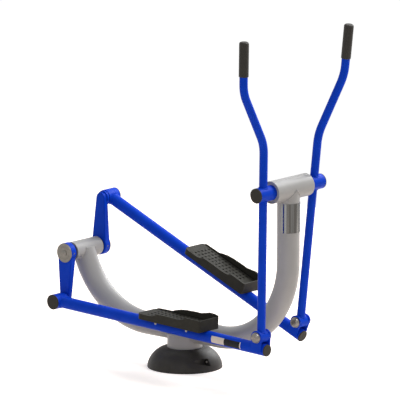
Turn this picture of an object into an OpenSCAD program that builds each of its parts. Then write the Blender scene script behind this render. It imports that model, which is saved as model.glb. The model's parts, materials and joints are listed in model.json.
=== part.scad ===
/* [Frame] */
// Outer diameter of the bent main tube
tube_d = 114.3; // [100:0.1:130]
// Wall of the main tube and of the head tube
tube_wall = 3; // [3:0.5:6]
// Height of the main tube's axis over the ground, on its level run
tube_axis_z = 187; // [175:1:230]
// Radius of both bends, measured on the tube's axis
bend_r = 450; // [420:5:480]
// Length of the level run behind the foot's axis
rear_run = 249.5; // [225:0.5:280]
// Length of the level run in front of the foot's axis
front_run = 240; // [215:1:270]
// Angle through which the rear bend climbs up to the hub
hub_angle = 73.3; // [70:0.1:78]
// Height of the lever axis over the ground
head_z = 1010; // [960:5:1060]
// Length of the head tube across the machine
head_len = 268; // [250:1:280]
// Depth by which the head covers sit inside the head tube
head_recess = 6; // [3:0.5:12]
// Thickness of a head cover
head_cover_t = 10; // [6:1:14]

/* [Foot] */
// Outer diameter of the foot post
post_d = 177.8; // [160:0.1:200]
// Wall of the foot post
post_wall = 4; // [3:0.5:8]
// Height of the upper end of the foot post
post_top = 166; // [150:1:172]
// Thickness of the plates that close the post beside the tube
post_plate_t = 6; // [4:1:10]
// Diameter of the foot flange
flange_d = 340; // [320:1:350]
// Thickness of the foot flange
flange_t = 12; // [8:1:16]
// Diameter of the circle on which the anchor holes lie
anchor_circle_d = 270; // [240:1:290]
// Number of anchor holes
anchor_count = 6; // [4:1:8]
// Diameter of an anchor hole
anchor_hole_d = 18; // [14:1:22]
// Diameter of the drain hole in the middle of the flange
drain_d = 60; // [30:1:90]

/* [Foot cover] */
// Distance from the flange's edge to the cover's outer edge
cover_margin = 19; // [14:1:30]
// Height of the foot cover at the post
cover_h = 103; // [90:1:125]
// Wall of the foot cover
cover_wall = 4; // [3:0.5:6]
// Height of the upright rim at the cover's lower edge
cover_rim = 2; // [1:0.5:14]
// Width of the flat collar round the post
cover_collar = 7; // [2:0.5:14]
// Height of a screw pocket's floor
pocket_z = 27; // [22:1:36]
// Height of a screw pocket
pocket_h = 38; // [28:1:42]
// Distance of a pocket's flat wall from the joint of the two halves
pocket_wall_y = 12; // [8:1:18]
// Length over which a pocket runs out along the cover
pocket_len = 80; // [50:1:90]
// Depth of a pocket at its flat wall, measured in from the cover's edge
pocket_deep = 46; // [34:1:50]
// Diameter of a cover screw's shank
cover_screw_d = 6; // [4:0.5:8]

/* [Rear hub] */
// Outer diameter of the hub tube
hub_d = 95; // [88:0.1:100]
// Length of the hub tube across the machine
hub_len = 190; // [170:1:196]
// Bore in the middle of the hub tube
hub_bore = 72; // [60:1:76]
// Outer diameter of a hub bearing
hub_bearing_d = 80; // [78:1:84]
// Width of a hub bearing
hub_bearing_w = 18; // [14:1:22]
// Diameter of the crank shaft
shaft_d = 40; // [34:1:44]
// Diameter of the shaft's ends inside the cranks
shaft_end_d = 34; // [28:1:36]
// Outer diameter of a hub dust ring
dust_ring_d = 80; // [74:1:88]

/* [Cranks] */
// Distance from the shaft's axis to a crank pin's axis
crank_r = 240; // [220:1:260]
// Lean of the right crank behind the plumb line at rest, in degrees
crank_tilt = 0.7; // [-4:0.1:4]
// Distance from the middle of the machine to a crank's inner face at the shaft
crank_in = 108; // [103:0.5:112]
// Thickness of a crank at the shaft
crank_t = 38; // [32:0.5:40]
// Thickness of a crank's arm at the pin
arm_pin_t = 26; // [20:1:30]
// Half the width of a crank's arm beside the shaft
arm_root = 46; // [38:1:47]
// Radius of a crank's end at the shaft
crank_big_r = 50; // [44:1:56]
// Radius of a crank's end at the pin
crank_small_r = 28; // [24:1:32]
// Radius of the round boss between a crank and the barrel
pin_boss_r = 35; // [30:1:37]
// Height of that boss over the crank's outer face
pin_boss_t = 6; // [3:0.5:7]
// Radius of the round along a crank's outer edge
crank_round = 4; // [2:0.5:6]
// Diameter of the steel disc outside a crank
disc_d = 98; // [94:0.5:102]
// Thickness of the steel disc
disc_t = 3.5; // [2:0.5:5]
// Thread diameter of the bolts on the shaft's ends
crank_bolt_d = 16; // [12:1:20]
// Diameter of a crank's set screw
set_screw_d = 10; // [8:1:12]

/* [Foot beams] */
// Distance from the middle of the machine to the middle of a beam
lane = 191; // [188:1:200]
// Outer diameter of a foot beam
beam_d = 60.3; // [54:0.1:64]
// Wall of a foot beam
beam_wall = 3; // [2:0.5:5]
// Length along the beam from the crank pin to below the fork bolt
beam_run = 1360; // [1352:1:1376]
// Height of the fork bolt over the beam's axis
fork_rise = 64.5; // [62:0.5:70]
// Length of the beam in front of the fork bolt
beam_nose = 38.5; // [36:0.5:50]
// Outer diameter of the rear barrel and of the lever's pivot tube
barrel_d = 76.1; // [74:0.1:80]
// Diameter over the bearings in the barrels and pivot tubes
bearing_d = 62; // [58:1:64]
// Width of those bearings
bearing_w = 16; // [12:1:18]
// Diameter of the crank pins and of the head axle
pin_d = 30; // [26:1:34]
// Distance from the middle of the machine to the barrel's inner end
barrel_in = 154; // [153:0.5:158]
// Length of the rear barrel
barrel_len = 76; // [70:1:84]
// Thickness of the black end caps and plugs
cap_t = 5.5; // [3:0.5:8]
// Thickness of a fork ear
ear_t = 8; // [6:1:10]
// Radius of a fork ear round the bolt
ear_r = 34.5; // [31:0.5:36]
// Distance from the fork bolt to the straight front edge of the ears
ear_front = 29; // [26:0.5:34]
// Diameter of the fork bolt
fork_bolt_d = 24; // [20:1:28]
// Diameter of the steel caps on the fork bolt
fork_cap_d = 55; // [48:1:60]

/* [Levers] */
// Distance from the lever axis to the fork bolt
lever_len = 726.5; // [717:0.5:737]
// Outer diameter of a lever's tube
lever_d = 42.4; // [38:0.1:48]
// Wall of a lever's tube
lever_wall = 3; // [2:0.5:5]
// Distance from the middle of the machine to the pivot tube's outer end
pivot_end = 241.5; // [238:0.5:248]
// Diameter of the barrel at the lever's foot
fork_barrel_d = 60.3; // [56:0.1:62]
// Bore of that barrel
fork_barrel_bore = 40; // [34:1:44]
// Height of the handle's lower bend over the lever axis
bend_low = 253; // [230:1:270]
// Height of the handle's upper bend over the lever axis
bend_high = 539; // [520:1:560]
// Distance by which the handle is bent outwards
handle_out = 159; // [140:1:180]
// Radius of the handle's bends
handle_bend_r = 180; // [130:5:220]
// Diameter of a grip
grip_d = 49.7; // [46:0.1:54]
// Height of a grip's lower end over the lever axis
grip_low = 624; // [615:1:640]
// Height of a grip's top over the lever axis
grip_top = 801; // [775:1:815]

/* [Pedals] */
// Length of a pedal
pedal_l = 419; // [395:1:430]
// Width of a pedal
pedal_w = 152; // [142:1:160]
// Distance along the beam from the crank pin to the pedal's rear end
pedal_start = 594.5; // [565:0.5:620]
// Height of the outer wall at its highest place
low_wall_h = 62; // [55:1:66]
// Height of the inner wall at its highest place
high_wall_h = 71; // [65:1:76]
// Height of the flat tread
tread_h = 28; // [25:0.5:32]
// Distance from the pedal's rear end to the first row of dimples
dimple_start = 57; // [50:1:64]
// Thickness of the walls and of the tread
pedal_wall = 6; // [4:0.5:7]
// Radius of the pedal's corners at its rear end
rear_corner_r = 26; // [16:1:30]
// Radius of the pedal's corners at its front end
front_corner_r = 10; // [8:1:16]
// Distance between two dimples of a row, and between two rows
dimple_pitch = 25; // [23:0.1:26]
// Depth of a dimple
dimple_depth = 3; // [2:0.5:3.5]
// Diameter of a pedal bolt
pedal_bolt_d = 8; // [6:1:10]

/* [Tube plate] */
// Height of the bare steel plate bent round the upright
plate_h = 149; // [120:1:160]
// Height of the plate's middle over the ground
plate_z = 867; // [830:1:890]
// Angle that the plate covers
plate_angle = 172; // [140:1:180]
// Thickness of the plate
plate_t = 1.5; // [1:0.5:3]

/* [Hidden] */
$fn = 64;
right = -1;
left = 1;
frame_grey = "#A9ADAC";
lever_blue = "#1437A3";
cap_black = "#35322E";
steel = "#B4B2AC";
dark_steel = "#6E6B66";
sleeve_bronze = "#A97B42";
half_turn = 180;
full_turn = 360;
cut = 1;
seat_gap = 0.3;
weld_gap = 0.02;
run_gap = 0.05;
screw_gap = 0.1;

bow_z = tube_axis_z + bend_r;
hub_x = -rear_run - bend_r * sin(hub_angle);
hub_z = bow_z - bend_r * cos(hub_angle);
head_x = front_run + bend_r;
crank_out = crank_in + crank_t;
barrel_out = barrel_in + barrel_len;
beam_r = beam_d / 2;
cover_r = flange_d / 2 + cover_margin;
coupler = sqrt(pow(beam_run, 2) + pow(fork_rise, 2));
bearing_lip_share = 0.12;
bearing_ring_share = 0.3;
bearing_shield_share = 0.08;

// Places in the side view, as [x, z], for the linkage at rest
function crank_angle(side) = side < 0 ? crank_tilt : crank_tilt + half_turn;
function pin_place(side) = [hub_x - crank_r * sin(crank_angle(side)), hub_z - crank_r * cos(crank_angle(side))];
function joint_of(p, q, rp, rq) =
    let (d = norm(q - p), along = (rp * rp - rq * rq + d * d) / (2 * d), off = sqrt(rp * rp - along * along),
         u = (q - p) / d)
    p + u * along + [u[1], -u[0]] * off;
function fork_place(side) = joint_of(pin_place(side), [head_x, head_z], coupler, lever_len);
function lever_lean(side) = atan2(head_x - fork_place(side)[0], head_z - fork_place(side)[1]);
function beam_pitch(side) =
    let (d = fork_place(side) - pin_place(side)) atan2(d[1], d[0]) - asin(fork_rise / coupler);

// A tube or rod along +Z
module tube(d, bore, h) {
    difference() {
        cylinder(d = d, h = h);
        if (bore > 0) translate([0, 0, -cut]) cylinder(d = bore, h = h + 2 * cut);
    }
}

// A tube or rod across the machine on its right side, from distance a to distance b
module across(a, b, d, bore = 0) {
    translate([0, -b, 0]) rotate([-90, 0, 0]) tube(d, bore, b - a);
}

// A bent tube in the X-Y plane, from the +X axis on
module bent(d, bore, r, angle) {
    rotate_extrude(angle = angle) translate([r, 0]) difference() {
        circle(d = d);
        if (bore > 0) circle(d = bore);
    }
}

// A turned part across the machine on its right side: its outline is [radius, distance outwards]
module turned(points) {
    rotate([90, 0, 0]) rotate_extrude() polygon(points);
}

// What is drawn for the right side, mirrored for the left one
module on(side) {
    if (side < 0) children();
    else mirror([0, 1, 0]) children();
}

module at_crank(side) {
    translate([hub_x, 0, hub_z]) rotate([0, crank_angle(side), 0]) on(side) children();
}

module at_lever(side) {
    translate([head_x, 0, head_z]) rotate([0, lever_lean(side), 0]) on(side) children();
}

module at_beam(side) {
    translate([pin_place(side)[0], 0, pin_place(side)[1]]) rotate([0, -beam_pitch(side), 0]) on(side) children();
}

// A shielded ball bearing across the machine, with both rings standing out a little
module bearing(a, d, bore, w) {
    ring_w = (d - bore) / 2 * bearing_ring_share;
    lip = w * bearing_lip_share;
    turned([
        [bore / 2, a], [bore / 2 + ring_w, a], [bore / 2 + ring_w, a + lip], [d / 2 - ring_w, a + lip],
        [d / 2 - ring_w, a], [d / 2, a], [d / 2, a + w], [d / 2 - ring_w, a + w],
        [d / 2 - ring_w, a + w - lip], [bore / 2 + ring_w, a + w - lip], [bore / 2 + ring_w, a + w],
        [bore / 2, a + w]
    ]);
}

// Foot
module anchor_places() {
    for (i = [0 : anchor_count - 1]) rotate([0, 0, (i + 1 / 2) * full_turn / anchor_count])
        translate([anchor_circle_d / 2, 0, 0]) children();
}

module foot_flange() {
    color(frame_grey) difference() {
        cylinder(d = flange_d, h = flange_t);
        translate([0, 0, -cut]) cylinder(d = drain_d, h = flange_t + 2 * cut);
        anchor_places() translate([0, 0, -cut]) cylinder(d = anchor_hole_d, h = flange_t + 2 * cut);
    }
}

module level_tube_body() {
    translate([-post_d, 0, tube_axis_z]) rotate([0, 90, 0]) cylinder(d = tube_d, h = 2 * post_d);
}

module foot_post() {
    color(frame_grey) difference() {
        union() {
            translate([0, 0, flange_t]) tube(post_d, post_d - 2 * post_wall, post_top - flange_t);
            translate([0, 0, post_top]) cylinder(d = post_d, h = post_plate_t);
        }
        level_tube_body();
    }
}

// Foot cover: two moulded halves that meet in the plane of the main tube
cover_steps = 16;
cover_bore = post_d + 2 * seat_gap;
cover_flank_share = 1.2;
cover_shoulder_share = 1.1;
pocket_tip_share = 0.65;
boss_wall = cover_wall;
lug_depth = 26;
cover_screw_len = pocket_wall_y + lug_depth;
cover_screw_head_d = 2 * cover_screw_d;
cover_screw_x = cover_r - pocket_deep + 2 * cover_screw_d;

function cover_curve(inset) =
    let (r0 = cover_bore / 2 + cover_collar, r1 = cover_r - inset, z0 = cover_rim, z1 = cover_h - inset)
    [for (i = [0 : cover_steps]) let (a = 90 * i / cover_steps)
        [r0 + (r1 - r0) * pow(cos(a), cover_flank_share), z0 + (z1 - z0) * pow(sin(a), cover_shoulder_share)]];

module cover_outline(inset) {
    polygon(concat(
        [[0, -inset * cut], [cover_r - inset, -inset * cut]],
        cover_curve(inset),
        [[0, cover_h - inset]]
    ));
}

// A pocket is deep at its flat wall and runs out to a tip along the cover
module cover_pocket(grow) {
    wall_y = -pocket_wall_y + grow;
    tip_y = -pocket_wall_y - pocket_len - grow;
    top = pocket_z + pocket_h + grow;
    translate([cover_r - pocket_deep - grow, 0, 0]) rotate([90, 0, 90])
        linear_extrude(pocket_deep + grow + cut) polygon([
            [wall_y, pocket_z - grow], [wall_y, top], [tip_y, top],
            [tip_y, pocket_z + pocket_h * pocket_tip_share - grow]
        ]);
}

module cover_screw_hole(d) {
    translate([cover_screw_x, 0, pocket_z + pocket_h / 2]) rotate([90, 0, 0])
        translate([0, 0, -cover_screw_len]) cylinder(d = d, h = 2 * cover_screw_len);
}

module both_ends() {
    children();
    mirror([1, 0, 0]) children();
}

module cover_shell() {
    rotate_extrude() difference() {
        cover_outline(0);
        cover_outline(cover_wall);
        translate([0, -cut]) square([cover_bore / 2, cover_h + 2 * cut]);
    }
}

module cover_solid() {
    rotate_extrude() cover_outline(0);
}

module half_space(side) {
    far = 2 * cover_r;
    translate([-far, side < 0 ? -far : 0, -cut]) cube([2 * far, far, cover_h + 2 * cut]);
}

module cover_half_right() {
    color(cap_black) difference() {
        intersection() {
            union() {
                cover_shell();
                intersection() {
                    cover_solid();
                    both_ends() cover_pocket(boss_wall);
                }
            }
            half_space(right);
        }
        both_ends() cover_pocket(0);
        both_ends() cover_screw_hole(cover_screw_d);
    }
}

module cover_half_left() {
    lug = 2 * cover_screw_d + 2 * cover_wall;
    color(cap_black) difference() {
        union() {
            intersection() {
                cover_shell();
                half_space(left);
            }
            intersection() {
                cover_solid();
                both_ends() translate([cover_screw_x - lug / 2, 0, pocket_z + pocket_h / 2 - lug / 2])
                    cube([cover_r, cover_screw_len - pocket_wall_y + cover_wall, lug]);
            }
        }
        both_ends() cover_screw_hole(cover_screw_d);
    }
}

module cover_screws() {
    color(steel) both_ends() translate([cover_screw_x, -pocket_wall_y, pocket_z + pocket_h / 2])
        rotate([90, 0, 0]) {
            translate([0, 0, pocket_wall_y - cover_screw_len])
                cylinder(d = cover_screw_d, h = cover_screw_len - pocket_wall_y);
            cylinder(d1 = cover_screw_head_d, d2 = cover_screw_d, h = cover_screw_d / 2);
        }
}

// Frame
module main_tube() {
    bore = tube_d - 2 * tube_wall;
    end_angle = atan(tube_wall / bend_r);
    color(frame_grey) difference() {
        union() {
            translate([-rear_run, 0, tube_axis_z]) rotate([0, 90, 0]) tube(tube_d, bore, rear_run + front_run);
            translate([front_run, 0, bow_z]) rotate([90, 0, 0]) rotate([0, 0, -90])
                bent(tube_d, bore, bend_r, 90);
            translate([-rear_run, 0, bow_z]) rotate([90, 0, 0]) rotate([0, 0, -90]) mirror([0, 1, 0])
                difference() {
                    bent(tube_d, 0, bend_r, hub_angle);
                    rotate([0, 0, -end_angle]) bent(bore, 0, bend_r, hub_angle);
                }
            translate([head_x, 0, bow_z]) tube(tube_d, bore, head_z - bow_z);
        }
        translate([head_x, 0, head_z]) across(-head_len / 2, head_len / 2, tube_d);
        translate([hub_x, 0, hub_z]) across(-hub_len / 2, hub_len / 2, hub_d);
    }
}

module head_tube() {
    color(frame_grey) translate([head_x, 0, head_z])
        across(-head_len / 2, head_len / 2, tube_d, tube_d - 2 * tube_wall);
}

head_cover_out = head_len / 2 - head_recess;
head_step = 6;
outer_bearing_in = pivot_end - 2 * cap_t - 2 * bearing_w;
nut_t_share = 0.5;
nut_width_share = 1.5;

module head_covers() {
    color(frame_grey) for (side = [right, left]) translate([head_x, 0, head_z]) on(side)
        across(head_cover_out - head_cover_t, head_cover_out, tube_d - 2 * tube_wall, pin_d);
}

module head_axle() {
    color(dark_steel) translate([head_x, 0, head_z]) across(-pivot_end + cap_t, pivot_end - cap_t, pin_d);
}

module head_bearings() {
    color(steel) for (side = [right, left]) translate([head_x, 0, head_z]) on(side) {
        bearing(head_cover_out + head_step, bearing_d - 2 * run_gap, pin_d, bearing_w);
        bearing(outer_bearing_in, bearing_d - 2 * run_gap, pin_d, bearing_w);
    }
}

module axle_spacers() {
    spacer_d = (pin_d + bearing_d) / 2 - pin_d / 4;
    color(dark_steel) for (side = [right, left]) translate([head_x, 0, head_z]) on(side) {
        across(head_cover_out, head_cover_out + head_step, spacer_d, pin_d);
        across(head_cover_out + head_step + bearing_w, outer_bearing_in, spacer_d, pin_d);
    }
}

module axle_nuts() {
    nut_in = outer_bearing_in + bearing_w;
    color(steel) for (side = [right, left]) translate([head_x, 0, head_z]) on(side) difference() {
        translate([0, -nut_in, 0]) rotate([90, 0, 0])
            cylinder(d = pin_d * nut_width_share, h = pin_d * nut_t_share, $fn = 6);
        across(nut_in - cut, nut_in + pin_d, pin_d);
    }
}

// Rear hub
hub_bearing_in = hub_len / 2 - seat_gap - hub_bearing_w;
spacer_d = shaft_d * 1.3;

module hub_tube() {
    color(frame_grey) translate([hub_x, 0, hub_z]) difference() {
        across(-hub_len / 2, hub_len / 2, hub_d, hub_bore);
        for (side = [right, left]) on(side) across(hub_bearing_in, hub_len / 2 + cut, hub_bearing_d);
    }
}

module hub_bearings() {
    color(steel) translate([hub_x, 0, hub_z]) for (side = [right, left]) on(side)
        bearing(hub_bearing_in, hub_bearing_d, shaft_d + 2 * run_gap, hub_bearing_w);
}

module hub_dust_rings() {
    color(cap_black) translate([hub_x, 0, hub_z]) for (side = [right, left]) on(side)
        across(hub_len / 2, crank_in - seat_gap, dust_ring_d, spacer_d + 4 * seat_gap);
}

// Crank set
crank_bolt_depth = 2 * crank_bolt_d;
shaft_end = crank_out - seat_gap;

module crank_shaft() {
    color(dark_steel) at_crank(right) difference() {
        union() {
            across(-crank_in, crank_in, shaft_d);
            for (side = [right, left]) on(side) across(crank_in, shaft_end, shaft_end_d);
        }
        for (side = [right, left]) on(side) across(shaft_end - crank_bolt_depth, crank_out, crank_bolt_d);
    }
}

module crank_spacers() {
    color(steel) at_crank(right) for (side = [right, left]) on(side)
        across(hub_len / 2, crank_in, spacer_d, shaft_d);
}

// Points along an arc round c, from angle a to angle b
function arc(c, r, a, b) = [for (i = [0 : arc_steps]) let (t = a + (b - a) * i / arc_steps) c + r * [cos(t), sin(t)]];
arc_steps = 28;

// Side view of a crank's arm, shaft at the origin and pin below it, all round smaller by inset
module arm_outline(inset) {
    root = arm_root - inset;
    small = crank_small_r - inset;
    tip = atan2(crank_r, root) - acos(small / norm([root, crank_r]));
    polygon(concat([[-root, 0]], arc([0, -crank_r], small, half_turn - tip, full_turn + tip), [[root, 0]]));
}

crank_edge_steps = 3;
arm_step = 1;
pin_seat = 5;
pin_boss_out = crank_out + pin_boss_t;

// Where the arm's inner face lies at a depth z below the shaft
function arm_in(z) = crank_in + arm_step + (crank_t - arm_step - arm_pin_t) * z / crank_r;

// The arm's section across its length: the inner face runs outwards towards the pin
module arm_side(inset) {
    low = crank_r + crank_small_r + cut;
    translate([-crank_big_r, 0, 0]) rotate([90, 0, 90]) linear_extrude(2 * crank_big_r) polygon([
        [-arm_in(0) - inset, cut], [-arm_in(low) - inset, -low], [inset - crank_out, -low], [inset - crank_out, cut]
    ]);
}

// Nested slabs round the arm's outer edges: the thicker the slab, the smaller its outline
module crank(side) {
    color(lever_blue) at_crank(side) difference() {
        union() {
            for (i = [0 : crank_edge_steps]) {
                a = 90 * i / crank_edge_steps;
                intersection() {
                    translate([0, -crank_in, 0]) rotate([90, 0, 0])
                        linear_extrude(crank_t) arm_outline(crank_round * (1 - sin(a)));
                    arm_side(crank_round * (1 - cos(a)));
                }
            }
            turned([
                [0, crank_in], [crank_big_r - crank_round, crank_in], [crank_big_r, crank_in + crank_round],
                [crank_big_r, crank_out - crank_round], [crank_big_r - crank_round, crank_out], [0, crank_out]
            ]);
            translate([0, 0, -crank_r]) across(crank_out - pin_boss_t, pin_boss_out, 2 * pin_boss_r);
        }
        across(crank_in - cut, crank_out + cut, shaft_end_d);
        translate([0, 0, -crank_r]) across(crank_out - arm_pin_t + pin_seat, pin_boss_out + cut, pin_d);
        translate([0, -crank_in - crank_t / 2, 0]) rotate([0, -side * 90, 0])
            cylinder(d = set_screw_d, h = crank_big_r + cut);
    }
}

module pin_roots() {
    color(dark_steel) for (side = [right, left]) at_crank(side)
        translate([0, 0, -crank_r]) across(crank_out - arm_pin_t + pin_seat, pin_boss_out, pin_d);
}

disc_groove_share = 0.62;
disc_groove = 1;

module crank_discs() {
    groove_r = disc_d / 2 * disc_groove_share;
    out = crank_out + disc_t;
    color(steel) for (side = [right, left]) at_crank(side) turned([
        [crank_bolt_d / 2, crank_out], [disc_d / 2, crank_out], [disc_d / 2, out - disc_groove],
        [disc_d / 2 - disc_groove, out], [groove_r + 2 * disc_groove, out],
        [groove_r + disc_groove, out - disc_groove], [groove_r, out], [crank_bolt_d / 2, out]
    ]);
}

module crank_bolts() {
    head = crank_out + disc_t;
    color(steel) for (side = [right, left]) at_crank(side) {
        across(shaft_end - crank_bolt_depth + crank_bolt_d / 4, head, crank_bolt_d);
        turned([
            [0, head], [crank_bolt_d, head], [crank_bolt_d, head + disc_t / 2],
            [crank_bolt_d * 3 / 4, head + disc_t], [crank_bolt_d / 3, head + 2 * disc_t], [0, head + 2 * disc_t]
        ]);
    }
}

module set_screws() {
    color(steel) for (side = [right, left]) at_crank(side)
        translate([0, -crank_in - crank_t / 2, 0]) rotate([0, -side * 90, 0])
            translate([0, 0, shaft_end_d / 2]) difference() {
                cylinder(d = set_screw_d, h = crank_big_r - shaft_end_d / 2 - crank_round / 2);
                translate([0, 0, crank_big_r - shaft_end_d / 2 - crank_round - set_screw_d / 4])
                    cylinder(d = set_screw_d / 2, h = set_screw_d, $fn = 6);
            }
}

// Levers
pivot_in = head_cover_out + seat_gap;

module pivot_tube(side) {
    color(lever_blue) at_lever(side) across(pivot_in, pivot_end, barrel_d, bearing_d);
}

module round_cap(in, d, bore) {
    edge = cap_t / 3;
    turned([
        [0, in - 2 * cap_t], [bore / 2 - cap_t, in - 2 * cap_t], [bore / 2, in - 2 * cap_t + edge],
        [bore / 2, in], [d / 2, in],
        [d / 2, in + cap_t - edge], [d / 2 - edge, in + cap_t], [0, in + cap_t]
    ]);
}

// A shallow cap whose spigot sits in the tube round the axle or pin
module ring_cap(in, d, bore, clear_d) {
    edge = cap_t / 3;
    spigot = cap_t / 2;
    turned([
        [clear_d / 2, in - spigot], [bore / 2, in - spigot], [bore / 2, in], [d / 2, in],
        [d / 2, in + cap_t - edge], [d / 2 - edge, in + cap_t], [0, in + cap_t],
        [0, in], [clear_d / 2, in]
    ]);
}

module pivot_cap(side) {
    color(cap_black) at_lever(side) ring_cap(pivot_end, barrel_d, bearing_d, bearing_d - 2 * cap_t);
}

module lever_tube(side) {
    color(lever_blue) at_lever(side) difference() {
        translate([0, -lane, -lever_len]) tube(lever_d, lever_d - 2 * lever_wall, lever_len);
        across(pivot_in - cut, pivot_end + cut, barrel_d);
        translate([0, 0, -lever_len]) across(lane - fork_barrel_d, lane + fork_barrel_d, fork_barrel_d);
    }
}

slant = atan2(handle_out, bend_high - bend_low);
bend_take = handle_bend_r * tan(slant / 2);
slant_len = norm([handle_out, bend_high - bend_low]) - 2 * bend_take;
handle_end = grip_top - grip_d / 2;

// The bent handle: its two bends carry the upright lengths, and the slanted length lies between them
module handle(side) {
    bore = lever_d - 2 * lever_wall;
    color(lever_blue) at_lever(side) translate([0, -lane, 0]) {
        difference() {
            tube(lever_d, bore, bend_low - bend_take);
            translate([0, lane, 0]) across(pivot_in - cut, pivot_end + cut, barrel_d);
        }
        translate([0, -handle_bend_r, bend_low - bend_take]) rotate([90, 0, 90])
            bent(lever_d, bore, handle_bend_r, slant);
        translate([0, 0, bend_low]) rotate([slant, 0, 0]) translate([0, 0, bend_take + weld_gap])
            tube(lever_d, bore, slant_len - 2 * weld_gap);
        translate([0, -handle_out + handle_bend_r, bend_high + bend_take]) rotate([90, 0, -90])
            mirror([0, 1, 0]) bent(lever_d, bore, handle_bend_r, slant);
        translate([0, -handle_out, bend_high + bend_take])
            tube(lever_d, bore, handle_end - bend_high - bend_take);
    }
}

grip_round_share = 0.4;
grip_lip = 2;
grip_steps = 6;

module grip(side) {
    r = grip_d / 2;
    round_r = r * grip_round_share;
    flat = r - round_r;
    top = grip_top - grip_low;
    color(cap_black) at_lever(side) translate([0, -lane - handle_out, grip_low]) difference() {
        rotate_extrude() polygon(concat(
            [[0, 0], [r - grip_lip / 2, 0], [r, grip_lip / 2]],
            [for (i = [0 : grip_steps]) let (a = 90 * i / grip_steps)
                [flat + round_r * cos(a), top - round_r + round_r * sin(a)]],
            [[0, top]]
        ));
        translate([0, 0, -cut]) cylinder(d = lever_d, h = handle_end - grip_low + cut);
    }
}

fork_gap = beam_d;
fork_side_gap = 1.15;
bush_flange = fork_side_gap - seat_gap;
fork_barrel_len = fork_gap - 2 * fork_side_gap;

module fork_barrel(side) {
    color(lever_blue) at_lever(side) translate([0, 0, -lever_len])
        across(lane - fork_barrel_len / 2, lane + fork_barrel_len / 2, fork_barrel_d, fork_barrel_bore);
}

module fork_bushes(side) {
    bush_bore = fork_bolt_d + 2 * run_gap;
    reach = fork_barrel_len / 2;
    flange_r = (fork_barrel_bore + fork_barrel_d) / 4;
    color(sleeve_bronze) at_lever(side) translate([0, -lane, -lever_len]) for (half = [right, left]) on(half)
        turned([
            [bush_bore / 2, 0], [fork_barrel_bore / 2, 0], [fork_barrel_bore / 2, reach], [flange_r, reach],
            [flange_r, reach + bush_flange], [bush_bore / 2, reach + bush_flange]
        ]);
}

// Foot beams
beam_len = beam_run + beam_nose;
pedal_bolt_rise = 12;
tongue_w = 12;
tongue_l = 40;
tongue_gap = 0.3;
tongue_drop = beam_r - pedal_bolt_rise + 1.25 * pedal_bolt_d;
tongue_places_share = [0.2076, 0.699];
bolt_seat = sqrt(pow(beam_r, 2) - pow(pedal_bolt_rise, 2)) - beam_wall / 2;
bolt_head_r = pedal_bolt_d * 0.8;

function tongue_x(i) = pedal_start + pedal_l * tongue_places_share[i];

module foot_beam(side) {
    color(lever_blue) at_beam(side) difference() {
        translate([0, -lane, 0]) rotate([0, 90, 0]) tube(beam_d, beam_d - 2 * beam_wall, beam_len);
        across(barrel_in - cut, barrel_out + beam_d, barrel_d);
        for (i = [0, 1]) {
            translate([tongue_x(i) - tongue_l / 2 - tongue_gap, -lane - tongue_w / 2 - tongue_gap, 0])
                cube([tongue_l + 2 * tongue_gap, tongue_w + 2 * tongue_gap, beam_d]);
            translate([tongue_x(i), -lane, pedal_bolt_rise]) {
                across(-beam_d, beam_d, pedal_bolt_d);
                for (half = [right, left]) on(half) across(bolt_seat, beam_d, 2 * bolt_head_r);
            }
        }
    }
}

module beam_plug(side) {
    color(cap_black) at_beam(side) translate([beam_len, -lane, 0]) rotate([0, 0, 90])
        round_cap(0, beam_d, beam_d - 2 * beam_wall);
}

ear_low_share = 0.3;
ear_corner = 6;

// Side view of an ear: round over the bolt, straight along its front edge, low along the beam's flank
module ear_outline() {
    low = -beam_r * ear_low_share;
    rear = -ear_r;
    difference() {
        union() {
            translate([0, fork_rise]) intersection() {
                circle(r = ear_r);
                translate([rear, -ear_r]) square([ear_front - rear, 2 * ear_r]);
            }
            translate([rear, low + ear_corner]) square([ear_front - rear, fork_rise - low - ear_corner]);
            translate([rear + ear_corner, low]) square([ear_front - rear - 2 * ear_corner, 2 * ear_corner]);
            for (x = [rear + ear_corner, ear_front - ear_corner])
                translate([x, low + ear_corner]) circle(r = ear_corner);
        }
        translate([0, fork_rise]) circle(d = fork_bolt_d);
    }
}

module fork_ears(side) {
    color(lever_blue) at_beam(side) for (y = [fork_gap / 2, -fork_gap / 2 - ear_t])
        translate([beam_run, -lane - y, 0]) rotate([90, 0, 0]) linear_extrude(ear_t) ear_outline();
}

fork_cap_rim = 6;
fork_cap_dome = 15;
fork_cap_steps = 6;
fork_dome_share = 0.92;
fork_swell_share = 0.85;

module fork_bolt(side) {
    reach = fork_gap / 2 + ear_t;
    dome_r = fork_cap_d / 2 * fork_dome_share;
    color(steel) at_beam(side) translate([beam_run, -lane, fork_rise]) {
        across(-reach, reach, fork_bolt_d);
        for (half = [right, left]) on(half) turned(concat(
            [[0, reach], [fork_cap_d / 2, reach], [fork_cap_d / 2, reach + fork_cap_rim * 2 / 3],
             [fork_cap_d / 2 - fork_cap_rim / 3, reach + fork_cap_rim]],
            [for (i = [0 : fork_cap_steps]) let (a = 90 * i / fork_cap_steps)
                [dome_r * pow(cos(a), fork_swell_share),
                 reach + fork_cap_rim + fork_cap_dome * pow(sin(a), fork_swell_share)]]
        ));
    }
}

module rear_barrel(side) {
    color(lever_blue) at_beam(side) across(barrel_in, barrel_out, barrel_d, bearing_d);
}

barrel_step = 3;

module barrel_bearings(side) {
    color(steel) at_beam(side) {
        bearing(barrel_in + barrel_step, bearing_d, pin_d, bearing_w);
        bearing(barrel_out - 2 * cap_t - bearing_w, bearing_d, pin_d, bearing_w);
    }
}

module barrel_cap(side) {
    color(cap_black) at_beam(side) ring_cap(barrel_out, barrel_d, bearing_d, bearing_d - 2 * cap_t);
}

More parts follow.
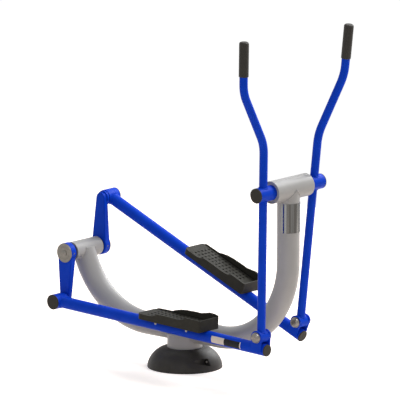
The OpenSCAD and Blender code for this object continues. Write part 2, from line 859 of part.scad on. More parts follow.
// The pin ends a hair outside the crank's boss, where the linkage is opened
module crank_pin(side) {
    collar = pin_d * 1.4;
    color(dark_steel) at_beam(side) {
        across(pin_boss_out + seat_gap, barrel_out - cap_t, pin_d);
        across(pin_boss_out + seat_gap, barrel_in + barrel_step, collar, pin_d);
    }
}

// Pedals: the same moulding on both sides, low wall to the right, high wall to the left.
// The tread is flat and flush with the walls at the rear, and the walls rise in two steps towards the toe
low_wall_shares = [
    [0, 0.45], [0.19, 0.45], [0.24, 0.48], [0.33, 0.72], [0.45, 0.74], [0.64, 0.72], [0.71, 0.77], [0.79, 1],
    [0.9, 1], [1, 0.98]
];
high_wall_shares = [
    [0, 0.41], [0.05, 0.45], [0.2, 0.47], [0.25, 0.48], [0.33, 0.63], [0.4, 0.73], [0.5, 0.79], [0.64, 0.82],
    [0.71, 0.81], [0.78, 0.9], [0.85, 1], [0.93, 0.98], [1, 0.89]
];
tread_shares = [[0, 1], [1, 1]];
pedal_steps = 60;
front_wall_share = 0.98;

// Height of a smooth line through a table of [place, height] shares
function smooth(t, table, i = 0) =
    t <= table[i + 1][0] || i == len(table) - 2
    ? let (p = table[i], q = table[i + 1], s = (t - p[0]) / (q[0] - p[0]), w = (1 - cos(half_turn * s)) / 2)
        p[1] + (q[1] - p[1]) * w
    : smooth(t, table, i + 1);

function straight(t, table, i = 0) =
    t <= table[i + 1][0] || i == len(table) - 2
    ? let (p = table[i], q = table[i + 1]) p[1] + (q[1] - p[1]) * (t - p[0]) / (q[0] - p[0])
    : straight(t, table, i + 1);

function wavy(t, table) = (smooth(t, table) + straight(t, table)) / 2;

// A slab along the pedal from y = a to y = b, under a line of heights
module slab(a, b, table, h, drop = 0) {
    translate([0, b, 0]) rotate([90, 0, 0]) linear_extrude(b - a) polygon(concat(
        [[pedal_l, 0], [0, 0]],
        [for (i = [0 : pedal_steps]) [pedal_l * i / pedal_steps, h * wavy(i / pedal_steps, table) - drop]]
    ));
}

// A long outline with wide rear corners and small front ones
module rounded(l, w, rear, front) {
    translate([rear, -w / 2]) square([l - rear - front, w]);
    translate([0, rear - w / 2]) square([l / 2, w - 2 * rear]);
    translate([l / 2, front - w / 2]) square([l / 2, w - 2 * front]);
    for (way = [-1, 1]) {
        translate([rear, way * (w / 2 - rear)]) circle(r = rear);
        translate([l - front, way * (w / 2 - front)]) circle(r = front);
    }
}

dimple_l = 11;
dimple_w = 12;
dimple_columns = 5;
dimple_rows = 12;
rib_t = 4;
spine_w = 46;
rib_count = 5;

module dimple_grid() {
    for (row = [0 : dimple_rows - 1], column = [1 : dimple_columns])
        translate([dimple_start + row * dimple_pitch, (column - (dimple_columns + 1) / 2) * dimple_pitch])
            square([dimple_l, dimple_w], center = true);
}

module pedal_hollows() {
    inner = pedal_l - 2 * pedal_wall;
    difference() {
        translate([pedal_wall, 0])
            rounded(inner, pedal_w - 2 * pedal_wall, rear_corner_r - pedal_wall, front_corner_r - pedal_wall);
        translate([0, -spine_w / 2]) square([pedal_l, spine_w]);
        for (i = [1 : rib_count]) translate([i * pedal_l / (rib_count + 1) - rib_t / 2, -pedal_w / 2])
            square([rib_t, pedal_w]);
    }
}

module pedal_shape() {
    half = pedal_w / 2;
    inner = half - pedal_wall;
    difference() {
        intersection() {
            linear_extrude(high_wall_h + cut) rounded(pedal_l, pedal_w, rear_corner_r, front_corner_r);
            union() {
                slab(-half, -inner, low_wall_shares, low_wall_h);
                slab(-inner, inner, tread_shares, tread_h);
                slab(inner, half, high_wall_shares, high_wall_h);
                translate([pedal_l - pedal_wall, -half, 0])
                    cube([pedal_wall, pedal_w, low_wall_h * front_wall_share]);
            }
        }
        intersection() {
            translate([0, 0, -cut]) linear_extrude(tread_h) pedal_hollows();
            translate([0, 0, -cut]) slab(-inner, inner, tread_shares, tread_h, pedal_wall + dimple_depth - cut);
        }
        intersection() {
            linear_extrude(tread_h + cut) dimple_grid();
            difference() {
                translate([0, -half, 0]) cube([pedal_l, pedal_w, high_wall_h]);
                slab(-half, half, tread_shares, tread_h, dimple_depth);
            }
        }
    }
}

module pedal(side) {
    color(cap_black) at_beam(side) on(side) translate([pedal_start, side * lane, beam_r]) difference() {
        union() {
            pedal_shape();
            for (i = [0, 1])
                translate([pedal_l * tongue_places_share[i] - tongue_l / 2, -tongue_w / 2, -tongue_drop])
                    cube([tongue_l, tongue_w, tongue_drop + cut]);
        }
        for (i = [0, 1]) translate([pedal_l * tongue_places_share[i], 0, pedal_bolt_rise - beam_r])
            rotate([90, 0, 0]) translate([0, 0, -tongue_w]) cylinder(d = pedal_bolt_d, h = 2 * tongue_w);
    }
}

module pedal_bolts(side) {
    top = bolt_seat + bolt_head_r;
    color(steel) at_beam(side) for (i = [0, 1]) translate([tongue_x(i), -lane, pedal_bolt_rise]) {
        across(-bolt_seat, bolt_seat, pedal_bolt_d);
        for (half = [right, left]) on(half) turned([
            [0, bolt_seat], [bolt_head_r, bolt_seat], [bolt_head_r, (bolt_seat + 2 * top) / 3],
            [bolt_head_r * 0.6, top], [0, top]
        ]);
    }
}

// Bare plate on the upright
module tube_plate() {
    color(steel) translate([head_x, 0, plate_z - plate_h / 2]) rotate([0, 0, -plate_angle / 2])
        rotate_extrude(angle = plate_angle) translate([tube_d / 2 + screw_gap, 0]) square([plate_t, plate_h]);
}

plate_screw_d = 7;
plate_screw_h = 1.6;
plate_screw_edge = 8;

module plate_screws() {
    edge_angle = plate_angle / 2 - plate_screw_edge * full_turn / (PI * tube_d);
    rise = plate_h / 2 - plate_screw_edge;
    color(steel) for (a = [-edge_angle, edge_angle], z = [-rise, 0, rise])
        translate([head_x, 0, plate_z + z]) rotate([0, 90, a]) translate([0, 0, tube_d / 2 + screw_gap + plate_t])
            cylinder(d1 = plate_screw_d, d2 = plate_screw_d * 0.7, h = plate_screw_h);
}

foot_flange();
foot_post();
cover_half_right();
cover_half_left();
cover_screws();
main_tube();
head_tube();
head_covers();
head_axle();
head_bearings();
axle_spacers();
axle_nuts();
hub_tube();
hub_bearings();
hub_dust_rings();
tube_plate();
plate_screws();
crank_shaft();
crank_spacers();
crank(right);  // crank_right
crank(left);  // crank_left
pin_roots();
crank_discs();
crank_bolts();
set_screws();
pivot_tube(right);  // pivot_tube_right
pivot_cap(right);  // pivot_cap_right
lever_tube(right);  // lever_tube_right
handle(right);  // handle_right
grip(right);  // grip_right
fork_barrel(right);  // fork_barrel_right
fork_bushes(right);  // fork_bushes_right
pivot_tube(left);  // pivot_tube_left
pivot_cap(left);  // pivot_cap_left
lever_tube(left);  // lever_tube_left
handle(left);  // handle_left
grip(left);  // grip_left
fork_barrel(left);  // fork_barrel_left
fork_bushes(left);  // fork_bushes_left
foot_beam(right);  // foot_beam_right
beam_plug(right);  // beam_plug_right
fork_ears(right);  // fork_ears_right
fork_bolt(right);  // fork_bolt_right
rear_barrel(right);  // rear_barrel_right
barrel_bearings(right);  // barrel_bearings_right
barrel_cap(right);  // barrel_cap_right
crank_pin(right);  // crank_pin_right
pedal(right);  // pedal_right
pedal_bolts(right);  // pedal_bolts_right
foot_beam(left);  // foot_beam_left
beam_plug(left);  // beam_plug_left
fork_ears(left);  // fork_ears_left
fork_bolt(left);  // fork_bolt_left
rear_barrel(left);  // rear_barrel_left
barrel_bearings(left);  // barrel_bearings_left
barrel_cap(left);  // barrel_cap_left
crank_pin(left);  // crank_pin_left
pedal(left);  // pedal_left
pedal_bolts(left);  // pedal_bolts_left
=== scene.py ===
import json
import math

import bpy
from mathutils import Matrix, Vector


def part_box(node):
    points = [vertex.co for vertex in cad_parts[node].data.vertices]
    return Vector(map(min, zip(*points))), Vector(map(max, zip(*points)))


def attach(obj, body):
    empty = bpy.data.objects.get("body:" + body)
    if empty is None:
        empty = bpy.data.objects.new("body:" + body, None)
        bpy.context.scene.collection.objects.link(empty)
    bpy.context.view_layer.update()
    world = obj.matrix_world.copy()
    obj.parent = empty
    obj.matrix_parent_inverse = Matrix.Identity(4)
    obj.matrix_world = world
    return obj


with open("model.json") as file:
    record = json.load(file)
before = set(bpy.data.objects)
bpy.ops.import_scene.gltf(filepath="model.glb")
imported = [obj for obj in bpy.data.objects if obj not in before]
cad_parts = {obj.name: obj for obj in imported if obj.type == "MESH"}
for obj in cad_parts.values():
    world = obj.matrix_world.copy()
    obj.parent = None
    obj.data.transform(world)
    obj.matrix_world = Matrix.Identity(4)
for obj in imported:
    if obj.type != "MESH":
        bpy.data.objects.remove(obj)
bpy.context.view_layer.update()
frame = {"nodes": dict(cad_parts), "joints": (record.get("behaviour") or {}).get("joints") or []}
MM = 0.001
# The two sides of the machine, and which way each lies along y
SIDES = {"right": -1, "left": 1}

# The view: its direction, the point it aims at and the width that it takes in there, in metres
AZIMUTH, ELEVATION = math.radians(41.5), math.radians(12.08)
SIGHT = Vector((
    -math.sin(AZIMUTH) * math.cos(ELEVATION),
    math.cos(AZIMUTH) * math.cos(ELEVATION),
    -math.sin(ELEVATION),
))
ACROSS = Vector((math.cos(AZIMUTH), math.sin(AZIMUTH), 0))
BEHIND = Vector((SIGHT.x, SIGHT.y, 0)).normalized()
UP = Vector((0, 0, 1))
AIM = Vector((-0.0589, 0.1812, 0.8162))
PICTURE_WIDTH = 2.010
LENS_MM, SENSOR_MM = 1500, 36

# The lamps: name, way to it, edge length in metres, level
LAMP_DISTANCE = 6
LAMP_AIM = Vector((0, 0, 0.7))
LAMPS = (
    ("key_from_above_right", ACROSS * 0.8 + BEHIND * 0.35 + UP * 1.1, 3.4, 0.95),
    ("rim_from_behind_right", ACROSS * 0.8 + BEHIND * 1.15 + UP * 0.55, 3.0, 0.5),
    ("fill_from_front", -ACROSS * 0.2 - BEHIND * 1.0 + UP * 0.5, 3.5, 0.1),
)

# The floor reaches FLOOR_HALF metres each way. The world's strength is WORLD_LIGHT as light on the
# object and WORLD_SEEN where it is looked at, and the floor glows by FLOOR_GLOW where it is looked at.
FLOOR_HALF = 3.3
FLOOR_TINT = "#F8ECE4"
FLOOR_GLOW = 0.53
WORLD_LIGHT, WORLD_SEEN = 0.39, 1.02


def make_camera():
    data = bpy.data.cameras.new("camera")
    data.sensor_width = SENSOR_MM
    data.lens = LENS_MM
    distance = PICTURE_WIDTH * LENS_MM / SENSOR_MM
    data.clip_start, data.clip_end = 1, 2 * distance
    camera = bpy.data.objects.new("camera", data)
    camera.location = AIM - SIGHT * distance
    camera.rotation_mode = "QUATERNION"
    camera.rotation_quaternion = SIGHT.to_track_quat("-Z", "Y")
    bpy.context.scene.collection.objects.link(camera)
    bpy.context.scene.camera = camera


def lamp(name, towards, size, level):
    """A square soft box. At level 1 it lights a white card that faces it to full white."""
    data = bpy.data.lights.new(name, "AREA")
    data.shape = "SQUARE"
    data.size = size
    data.energy = level * math.pi**2 * LAMP_DISTANCE**2
    box = bpy.data.objects.new(name, data)
    towards = towards.normalized()
    box.location = LAMP_AIM + towards * LAMP_DISTANCE
    box.rotation_mode = "QUATERNION"
    box.rotation_quaternion = (-towards).to_track_quat("-Z", "Y")
    bpy.context.scene.collection.objects.link(box)


# Materials
def ink(code):
    """An sRGB hex colour as linear light."""
    parts = [int(code[i : i + 2], 16) / 255 for i in (1, 3, 5)]
    return (*[c / 12.92 if c <= 0.04045 else ((c + 0.055) / 1.055) ** 2.4 for c in parts], 1.0)


def add(tree, kind, settings=None, links=None):
    """One node, with its settings and what its sockets are linked to."""
    made = tree.nodes.new(kind)
    for key, value in (settings or {}).items():
        if isinstance(key, str) and hasattr(made, key):
            setattr(made, key, value)
        else:
            made.inputs[key].default_value = value
    for key, source in (links or {}).items():
        tree.links.new(source, made.inputs[key])
    return made


def finish_of(name, **surface):
    """A new material with its tree, its Principled surface and the place on the object."""
    made = bpy.data.materials.new(name)
    made.use_nodes = True
    tree = made.node_tree
    tree.nodes.clear()
    body = add(tree, "ShaderNodeBsdfPrincipled", surface)
    add(tree, "ShaderNodeOutputMaterial", None, {"Surface": body.outputs[0]})
    place = add(tree, "ShaderNodeTexCoord").outputs["Object"]
    return made, tree, body, place


def grain(size_mm, detail):
    """The settings of a soft noise whose grains are about size_mm across."""
    return {"Scale": 1 / (size_mm * MM), "Detail": detail, "Roughness": 0.5}


def patches(tree, place, size_mm, detail, low, high, at=(0.3, 0.7)):
    """Soft patches about size_mm across, as plain numbers from low to high."""
    noise = add(tree, "ShaderNodeTexNoise", grain(size_mm, detail), {"Vector": place})
    settings = {"From Min": at[0], "From Max": at[1], "To Min": low, "To Max": high}
    return add(tree, "ShaderNodeMapRange", settings, {"Value": noise.outputs["Fac"]}).outputs[0]


def clouded(tree, place, first, second, size_mm, detail, share=1, at=(0.3, 0.7)):
    """The first hex colour, clouded with the second in patches about size_mm across."""
    settings = {"data_type": "RGBA", 6: ink(first), 7: ink(second)}
    links = {0: patches(tree, place, size_mm, detail, 0, share, at)}
    return add(tree, "ShaderNodeMix", settings, links).outputs[2]


def relief(tree, body, place, size_mm, detail, depth_mm, strength, under=None):
    """A skin with soft grains about size_mm across and depth_mm deep, on the normal under it."""
    noise = add(tree, "ShaderNodeTexNoise", grain(size_mm, detail), {"Vector": place})
    links = {"Height": noise.outputs["Fac"]}
    if under:
        links["Normal"] = under
    skin = add(tree, "ShaderNodeBump", {"Distance": depth_mm * MM, "Strength": strength}, links)
    tree.links.new(skin.outputs[0], body.inputs["Normal"])


def powder_coat(name, colour, deep, rough, sheen):
    """Polyester powder, sprayed and baked on steel: an even colour under a faint orange peel."""
    made, tree, body, place = finish_of(name, **{"IOR": 1.5, "Specular IOR Level": sheen})
    # the colour clouds over 9 cm and the gloss over 14 mm
    tree.links.new(clouded(tree, place, colour, deep, 90, 3), body.inputs["Base Color"])
    tree.links.new(patches(tree, place, 14, 3, rough - 0.04, rough + 0.05), body.inputs["Roughness"])
    # orange peel cells are 1 to 2 mm wide and some hundredths deep
    relief(tree, body, place, 1.6, 1, 0.03, 0.6)
    return made


# A near black painted into recesses as shade
PAINTED_RECESS_SHADE = "#12110F"


def moulded(name, colour, worn, rough, sheen, grain_mm, depth_mm, wear_mm=45, edge_mm=0, recess_mm=0):
    """Moulded plastic or rubber: its spark grain, patches rubbed paler, soft edges, painted shade in its
    recesses.
    """
    made, tree, body, place = finish_of(name, **{"IOR": 1.49, "Specular IOR Level": sheen})
    tone = clouded(tree, place, colour, worn, wear_mm, 4, at=(0.45, 0.75))
    if recess_mm:
        # painted shade starts where 3% of the view within recess_mm is shut in, and is full where half of it
        # is
        reach = {"samples": 6, "Distance": recess_mm * MM}
        settings = {"From Min": 0.5, "From Max": 0.97, "To Min": 0, "To Max": 1}
        links = {"Value": add(tree, "ShaderNodeAmbientOcclusion", reach).outputs["AO"]}
        links = {0: add(tree, "ShaderNodeMapRange", settings, links).outputs[0], 7: tone}
        tone = add(tree, "ShaderNodeMix", {"data_type": "RGBA", 6: ink(PAINTED_RECESS_SHADE)}, links).outputs[2]
    tree.links.new(tone, body.inputs["Base Color"])
    # the gloss changes over 9 mm
    tree.links.new(patches(tree, place, 9, 2, rough - 0.05, rough + 0.07), body.inputs["Roughness"])
    edge = None
    if edge_mm:
        edge = add(tree, "ShaderNodeBevel", {"samples": 4, "Radius": edge_mm * MM}).outputs[0]
    relief(tree, body, place, grain_mm, 2, depth_mm, 0.7, edge)
    return made


def bare_metal(name, colour, streak, rough, line_mm, stretch=(1, 1, 1), depth_mm=0.01, cloud=(25, 0.5)):
    """Bare metal with tool or brush lines. Real ones, 0.1 mm apart, are drawn coarser so that they show."""
    cloud_mm, share = cloud
    made, tree, body, place = finish_of(name, Metallic=1.0)
    turned = add(tree, "ShaderNodeMapping", {"Scale": stretch}, {"Vector": place}).outputs[0]
    tone = clouded(tree, turned, colour, streak, cloud_mm, 2, share, (0.38, 0.62))
    tree.links.new(tone, body.inputs["Base Color"])
    tree.links.new(patches(tree, turned, line_mm, 3, rough - 0.06, rough + 0.1), body.inputs["Roughness"])
    relief(tree, body, turned, line_mm, 3, depth_mm, 0.5)
    return made


def vinyl_film(name, colour, rough):
    """Cast vinyl film, smooth and stuck down flat: one colour, hardly clouded, under a thin clear layer."""
    settings = {"IOR": 1.5, "Specular IOR Level": 0.12, "Coat Weight": 0.05, "Coat Roughness": 0.2}
    made, tree, body, place = finish_of(name, Roughness=rough, **settings)
    # a trace of grey in 2 cm clouds, and a ripple of 4 mm from the tube under it
    tree.links.new(clouded(tree, place, colour, "#808080", 20, 2, 0.05), body.inputs["Base Color"])
    relief(tree, body, place, 4, 1, 0.02, 0.3)
    return made


# Polyester powder coat, baked: an even, deep blue that shows hardly a highlight in soft light
BLUE_PAINT = powder_coat("gloss_blue_powder_coat", "#0A43CC", "#083DC2", 0.42, 0.07)
# The same in silver grey: its satin sheen draws soft lines of light along the tubes
GREY_PAINT = powder_coat("satin_silver_grey_powder_coat", "#A9A8A6", "#A4A3A1", 0.4, 0.34)
# ABS, injection moulded with a fine grain: brown black, and a soft sheen that rounds the dome
COVER_ABS = moulded("grained_black_abs", "#2F2D2B", "#363430", 0.48, 0.22, 1.1, 0.05, edge_mm=1.5)
# PVC, injection moulded: a dull, slightly brown black on the caps and plugs
CAP_PVC = moulded("moulded_black_pvc", "#2A2721", "#302C25", 0.55, 0.22, 0.9, 0.04)
# Polypropylene, moulded with a coarse grain: dull black, light on its round edges, with painted shade in its
# dimples
PEDAL_PP = moulded(
    "moulded_black_polypropylene", "#2D2C27", "#33322C", 0.56, 0.13, 1.2, 0.06,
    wear_mm=30, edge_mm=2.2, recess_mm=7,
)
# Rubber, moulded: a matt black on the grips that breaks up every highlight
GRIP_RUBBER = moulded("black_grip_rubber", "#292621", "#2F2C27", 0.55, 0.3, 0.8, 0.06)
# Rubber, moulded smoother: the darkest of the blacks, on the dust rings in the gap between crank and hub,
# partly painted shade for that gap
SEAL_RUBBER_AND_GAP_SHADE = moulded("black_seal_rubber_and_gap_shade", "#1F1E1C", "#262522", 0.6, 0.3, 0.8, 0.04)
# Stainless steel, pressed to a dome and polished: warm grey with soft reflections
DOMED_STEEL = bare_metal("polished_stainless_steel", "#7D7874", "#716C67", 0.26, 1.5, cloud=(14, 0.5))
# Stainless steel, turned on a lathe: a duller grey than the domes
DISC_STEEL = bare_metal("turned_stainless_steel", "#7A7771", "#6E6B66", 0.36, 1.2)
# Stainless sheet, bright from the rolls: nearly a mirror, with pale streaks along its length that are partly
# roll streaks and partly painted reflection bands
PLATE_STEEL = bare_metal(
    "bright_rolled_stainless_steel", "#5C5955", "#959594", 0.1, 3, (1, 1, 0.02), cloud=(22, 0.9)
)
# Mild steel, zinc plated: pale, slightly clouded screws and nuts
SCREW_STEEL = bare_metal("zinc_plated_steel", "#96938D", "#8A8781", 0.34, 2)
# Bearing steel, ground: the palest and smoothest of the metals
BEARING_STEEL = bare_metal("ground_bearing_steel", "#C4C3BE", "#8A8781", 0.2, 2)
# Mild steel bar, turned: dark grey with close rings round its length
SHAFT_STEEL = bare_metal("turned_mild_steel", "#77746E", "#8A8781", 0.35, 0.8, (0.2, 6, 0.2), 0.02)
# Bronze, pressed from powder and sintered: a dull brownish yellow
SLEEVE_BRONZE = bare_metal("sintered_bronze", "#A8803F", "#8A8781", 0.4, 1)
# Vinyl film, pale and dark: smooth, even fields with a low gloss
PALE_FILM = vinyl_film("pale_vinyl_film", "#E3D9CF", 0.4)
DARK_FILM = vinyl_film("dark_vinyl_film", "#0D0F1A", 0.35)

DRESS = {
    GREY_PAINT: ["foot_flange", "foot_post", "main_tube", "head_tube", "head_covers", "hub_tube"],
    COVER_ABS: ["cover_half_right", "cover_half_left"],
    SEAL_RUBBER_AND_GAP_SHADE: ["hub_dust_rings"],
    DOMED_STEEL: ["fork_bolt_right", "fork_bolt_left"],
    DISC_STEEL: ["crank_discs", "crank_bolts"],
    PLATE_STEEL: ["tube_plate"],
    SCREW_STEEL: [
        "cover_screws", "plate_screws", "set_screws", "axle_nuts", "pedal_bolts_right", "pedal_bolts_left",
    ],
    BEARING_STEEL: ["head_bearings", "hub_bearings", "barrel_bearings_right", "barrel_bearings_left"],
    SHAFT_STEEL: [
        "head_axle", "axle_spacers", "crank_shaft", "crank_spacers", "pin_roots",
        "crank_pin_right", "crank_pin_left",
    ],
    SLEEVE_BRONZE: ["fork_bushes_right", "fork_bushes_left"],
    BLUE_PAINT: [
        piece + "_" + side
        for side in SIDES
        for piece in (
            "crank", "pivot_tube", "lever_tube", "handle",
            "fork_barrel", "foot_beam", "fork_ears", "rear_barrel",
        )
    ],
    CAP_PVC: [piece + "_" + side for side in SIDES for piece in ("pivot_cap", "beam_plug", "barrel_cap")],
    GRIP_RUBBER: ["grip_right", "grip_left"],
    PEDAL_PP: ["pedal_right", "pedal_left"],
}
for material, names in DRESS.items():
    for name in names:
        slots = frame["nodes"][name].data.materials
        slots.clear()
        slots.append(material)

# Where the beads and the panel lie. LANE is how far out the levers and beams run, and the next six
# are the tubes' outer radii. The main tube's level run has its axis at RUN_HEIGHT, and its rear end
# leaves the hub at HUB_END_SLOPE below the level.
JOINTS = {j["name"]: Vector(j["pos_m"]) for j in frame["joints"]}
LANE, TUBE, HUB_TUBE, PIVOT_TUBE, LEVER_TUBE, BEAM_TUBE, POST = (
    v * MM for v in (191, 57.15, 47.5, 38.05, 21.2, 30.15, 88.9)
)
POST_TOP, RUN_HEIGHT = 0.172, 0.187
HUB_END_SLOPE = math.radians(73.3)


def middle(name):
    low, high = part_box(name)
    return (low + high) / 2


HUB, HEAD = middle("hub_tube"), middle("head_tube")


class Place:
    """A frame of its own in the side view: origin, and the ways its x and z run."""

    def __init__(self, origin, along, side):
        self.origin, self.side = Vector((origin.x, 0, origin.z)), side
        self.x = Vector((along.x, 0, along.z)).normalized()
        self.z = Vector((-self.x.z, 0, self.x.x))

    def at(self, x, out, z):
        """x along, out away from the middle of the machine, z up, all in metres."""
        return self.origin + self.x * x + self.z * z + Vector((0, self.side * out, 0))


def lever_place(side):
    top, foot = JOINTS[side + "_lever_swing"], JOINTS[side + "_fork_pivot"]
    up = top - foot
    return Place(top, Vector((up.z, 0, -up.x)), SIDES[side])


def beam_place(side):
    rear, nose = middle("barrel_cap_" + side), middle("beam_plug_" + side)
    return Place(rear, nose - rear, SIDES[side])


# Weld beads, swept along the joints by geometry nodes
def bead_tree():
    """A round bead along each line, its skin rippled as the welder moved on. Sizes are in metres."""
    tree = bpy.data.node_groups.new("weld_bead", "GeometryNodeTree")
    face = tree.interface
    face.new_socket("Geometry", in_out="INPUT", socket_type="NodeSocketGeometry")
    for name, value in (("Radius", 0.004), ("Ripple", 0.0035), ("Height", 0.0004), ("Step", 0.0012)):
        face.new_socket(name, in_out="INPUT", socket_type="NodeSocketFloat").default_value = value
    face.new_socket("Paint", in_out="INPUT", socket_type="NodeSocketMaterial")
    face.new_socket("Geometry", in_out="OUTPUT", socket_type="NodeSocketGeometry")
    given = add(tree, "NodeGroupInput").outputs
    line = add(tree, "GeometryNodeMeshToCurve", None, {0: given["Geometry"]}).outputs[0]
    links = {"Curve": line, "Length": given["Step"]}
    line = add(tree, "GeometryNodeResampleCurve", {"mode": "LENGTH"}, links).outputs[0]
    kept = add(tree, "GeometryNodeCaptureAttribute")
    kept.capture_items.new("FLOAT", "Length")
    tree.links.new(line, kept.inputs[0])
    tree.links.new(add(tree, "GeometryNodeSplineParameter").outputs["Length"], kept.inputs[1])
    ring = add(tree, "GeometryNodeCurvePrimitiveCircle", {"Resolution": 10}, {"Radius": given["Radius"]})
    links = {"Curve": kept.outputs[0], "Profile Curve": ring.outputs[0]}
    tube = add(tree, "GeometryNodeCurveToMesh", {"Fill Caps": True}, links)
    turns = add(tree, "ShaderNodeMath", {"operation": "DIVIDE"}, {0: kept.outputs[1], 1: given["Ripple"]})
    angle = add(tree, "ShaderNodeMath", {"operation": "MULTIPLY", 1: 2 * math.pi}, {0: turns.outputs[0]})
    wave = add(tree, "ShaderNodeMath", {"operation": "SINE"}, {0: angle.outputs[0]})
    swell = add(tree, "ShaderNodeMath", {"operation": "MULTIPLY"}, {0: wave.outputs[0], 1: given["Height"]})
    links = {0: add(tree, "GeometryNodeInputNormal").outputs[0], "Scale": swell.outputs[0]}
    push = add(tree, "ShaderNodeVectorMath", {"operation": "SCALE"}, links)
    moved = add(tree, "GeometryNodeSetPosition", None, {0: tube.outputs[0], "Offset": push.outputs[0]})
    smooth = add(tree, "GeometryNodeSetShadeSmooth", None, {0: moved.outputs[0]})
    real = add(tree, "GeometryNodeRealizeInstances", None, {0: smooth.outputs[0]})
    painted = add(tree, "GeometryNodeSetMaterial", None, {0: real.outputs[0], "Material": given["Paint"]})
    add(tree, "NodeGroupOutput", None, {0: painted.outputs[0]})
    return tree


def grown(name, mesh, tree, **inputs):
    """The mesh that a tree of geometry nodes makes of this one, as a plain object."""
    seed = bpy.data.objects.new(name + "_seed", mesh)
    bpy.context.scene.collection.objects.link(seed)
    modifier = seed.modifiers.new("grow", "NODES")
    modifier.node_group = tree
    sockets = {s.name: s.identifier for s in tree.interface.items_tree if s.in_out == "INPUT"}
    for key, value in inputs.items():
        modifier[sockets[key]] = value
    ready = seed.evaluated_get(bpy.context.evaluated_depsgraph_get())
    made = bpy.data.objects.new(name, bpy.data.meshes.new_from_object(ready))
    bpy.context.scene.collection.objects.link(made)
    bpy.data.objects.remove(seed)
    return made


def lines_mesh(name, lines):
    """Lines of points, each closed or open, as one mesh of edges."""
    points, edges = [], []
    for closed, line in lines:
        first = len(points)
        points += [tuple(p) for p in line]
        edges += [(first + i, first + i + 1) for i in range(len(line) - 1)]
        if closed:
            edges.append((first + len(line) - 1, first))
    mesh = bpy.data.meshes.new(name)
    mesh.from_pydata(points, edges, [])
    return mesh


def turn(steps):
    """Angles round a full circle."""
    return [2 * math.pi * i / steps for i in range(steps)]


def sweep(limit, steps):
    """Even steps from -limit to limit."""
    return [-limit + 2 * limit * i / steps for i in range(steps + 1)]


def drop(radius, off):
    """How high a tube's skin lies above its axis, off to one side by so much."""
    return math.sqrt(max(0.0, radius * radius - off * off))


def saddle(at, big, small):
    """The line where a tube of radius small meets one of radius big that it stands on square."""
    line = [at(small * math.cos(t), small * math.sin(t), drop(big, small * math.sin(t))) for t in turn(72)]
    return True, line


def hub_weld():
    """Two arcs where the main tube's end stands on the hub, joined along the closing plate."""
    down = Vector((math.cos(HUB_END_SLOPE), 0, -math.sin(HUB_END_SLOPE)))
    beside = Vector((-down.z, 0, down.x))
    line = []
    for way in (1, -1):
        for t in sweep(math.asin(HUB_TUBE / TUBE), 24):
            off = TUBE * math.sin(way * t)
            out = Vector((0, way * TUBE * math.cos(t), 0))
            line.append(HUB + beside * off + out + down * drop(HUB_TUBE, off))
    return True, line


def head_weld():
    """The mitred line round the upright's top."""
    line = [
        HEAD + Vector((TUBE * math.sin(t), TUBE * math.cos(t), -TUBE * abs(math.cos(t)))) for t in turn(96)
    ]
    return True, line


def post_weld(way):
    """Along one flank of the main tube, where the post's upper end meets it."""
    line = []
    for t in sweep(math.asin(TUBE / POST), 48):
        y = POST * math.sin(t)
        line.append(Vector((way * POST * math.cos(t), y, RUN_HEIGHT - drop(TUBE, y))))
    return False, [p for p in line if p.z < POST_TOP]


def plate_weld(way):
    """Along the plate that closes the post beside the main tube."""
    y = way * drop(TUBE, RUN_HEIGHT - POST_TOP)
    return False, [Vector((x, y, POST_TOP)) for x in sweep(drop(POST, y), 12)]


# Bead radii on the thick frame tubes and on the thinner moving ones
FRAME_BEAD, MOVING_BEAD = 0.0045, 0.0035
BEAD = bead_tree()
WELDS = {
    "frame_welds": (
        "frame", GREY_PAINT, FRAME_BEAD,
        [hub_weld(), head_weld(), post_weld(1), post_weld(-1), plate_weld(1), plate_weld(-1)],
    )
}
for side in SIDES:
    lever, beam = lever_place(side), beam_place(side)
    foot = (JOINTS[side + "_lever_swing"] - JOINTS[side + "_fork_pivot"]).length
    WELDS["lever_welds_" + side] = (
        "lever_" + side, BLUE_PAINT, MOVING_BEAD,
        [
            saddle(lambda a, o, s: lever.at(o, LANE + a, s), PIVOT_TUBE, LEVER_TUBE),
            saddle(lambda a, o, s: lever.at(o, LANE + a, -s), PIVOT_TUBE, LEVER_TUBE),
            saddle(lambda a, o, s: lever.at(o, LANE + a, s - foot), BEAM_TUBE, LEVER_TUBE),
        ],
    )
    WELDS["beam_welds_" + side] = (
        "beam_" + side, BLUE_PAINT, MOVING_BEAD,
        [saddle(lambda a, o, s: beam.at(s, LANE + a, o), PIVOT_TUBE, BEAM_TUBE)],
    )
for name, (body, paint, radius, lines) in WELDS.items():
    piece = grown(name, lines_mesh(name, lines), BEAD, Radius=radius, Paint=paint)
    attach(piece, body)


# Plain two-tone panel on the near beam
def panel(name, side, start, length, low, high, split, rim, lift):
    """A thin film bent round the beam's outer flank: a pale field, and a dark one that ends in a pale rim."""
    beam = beam_place(side)
    r = BEAM_TUBE + lift
    # columns of points along the beam, and rows of them round it
    seam, end = length * split, length - rim
    columns = [0, rim] + [seam * k / 8 for k in range(1, 9)]
    columns += [seam + (end - seam) * k / 10 for k in range(1, 11)] + [length]
    band = rim / r
    rows = [low, low + band] + [low + band + (high - low - 2 * band) * k / 10 for k in range(1, 10)]
    rows += [high - band, high]
    points = [beam.at(start + x, LANE + r * math.cos(t), r * math.sin(t)) for x in columns for t in rows]
    faces, tones = [], []
    n = len(rows)
    for i in range(len(columns) - 1):
        dark = columns[i] >= seam and i < len(columns) - 2
        for j in range(n - 1):
            face = (i * n + j, i * n + j + 1, (i + 1) * n + j + 1, (i + 1) * n + j)
            faces.append(face if SIDES[side] > 0 else face[::-1])
            tones.append(1 if dark else 0)
    mesh = bpy.data.meshes.new(name)
    mesh.from_pydata([tuple(p) for p in points], [], faces)
    mesh.materials.append(PALE_FILM)
    mesh.materials.append(DARK_FILM)
    for polygon, tone in zip(mesh.polygons, tones):
        polygon.material_index = tone
        polygon.use_smooth = True
    made = bpy.data.objects.new(name, mesh)
    bpy.context.scene.collection.objects.link(made)
    return made


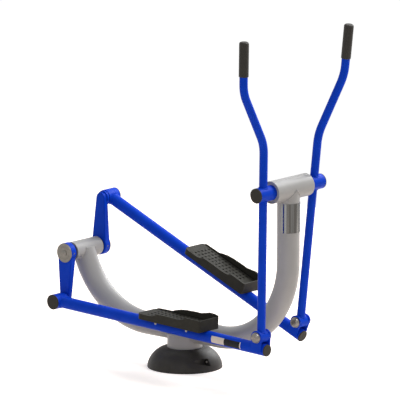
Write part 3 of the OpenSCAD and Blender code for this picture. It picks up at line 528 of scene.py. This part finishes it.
film = panel(
    "beam_panel", "right", start=1.0546, length=0.1933, low=math.radians(-34), high=math.radians(36),
    split=0.4315, rim=0.006, lift=0.0003,
)
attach(film, "beam_right")


# Floor, world, lamps and camera
def backdrop_ray(tree):
    """1 for what the camera, a mirror or a glass sees of the backdrop, 0 for its light on the object."""
    seen = add(tree, "ShaderNodeLightPath").outputs
    links = {0: seen["Is Glossy Ray"], 1: seen["Is Transmission Ray"]}
    mirrored = add(tree, "ShaderNodeMath", {"operation": "MAXIMUM"}, links)
    links = {0: seen["Is Camera Ray"], 1: mirrored.outputs[0]}
    return add(tree, "ShaderNodeMath", {"operation": "MAXIMUM"}, links).outputs[0]


def make_floor():
    """A pale matt floor that keeps shadows, lifted by a glow that only the backdrop's rays see."""
    mesh = bpy.data.meshes.new("floor")
    corners = [(x * FLOOR_HALF, y * FLOOR_HALF, 0) for x, y in ((-1, -1), (1, -1), (1, 1), (-1, 1))]
    mesh.from_pydata(corners, [], [(0, 1, 2, 3)])
    floor = bpy.data.objects.new("floor", mesh)
    bpy.context.scene.collection.objects.link(floor)
    made = bpy.data.materials.new("pale_floor")
    made.use_nodes = True
    tree = made.node_tree
    tree.nodes.clear()
    matt = add(tree, "ShaderNodeBsdfDiffuse", {"Color": ink(FLOOR_TINT)})
    level = add(tree, "ShaderNodeMath", {"operation": "MULTIPLY", 1: FLOOR_GLOW}, {0: backdrop_ray(tree)})
    glow = add(tree, "ShaderNodeEmission", {"Color": (1, 1, 1, 1)}, {"Strength": level.outputs[0]})
    both = add(tree, "ShaderNodeAddShader", None, {0: matt.outputs[0], 1: glow.outputs[0]})
    add(tree, "ShaderNodeOutputMaterial", None, {"Surface": both.outputs[0]})
    mesh.materials.append(made)


def make_world():
    world = bpy.data.worlds.new("studio")
    bpy.context.scene.world = world
    world.use_nodes = True
    tree = world.node_tree
    tree.nodes.clear()
    settings = {"To Min": WORLD_LIGHT, "To Max": WORLD_SEEN}
    level = add(tree, "ShaderNodeMapRange", settings, {"Value": backdrop_ray(tree)})
    back = add(tree, "ShaderNodeBackground", {"Color": (1, 1, 1, 1)}, {"Strength": level.outputs[0]})
    add(tree, "ShaderNodeOutputWorld", None, {"Surface": back.outputs[0]})


bpy.context.scene.view_settings.view_transform = "Standard"
make_camera()
make_world()
make_floor()
for setup in LAMPS:
    lamp(*setup)
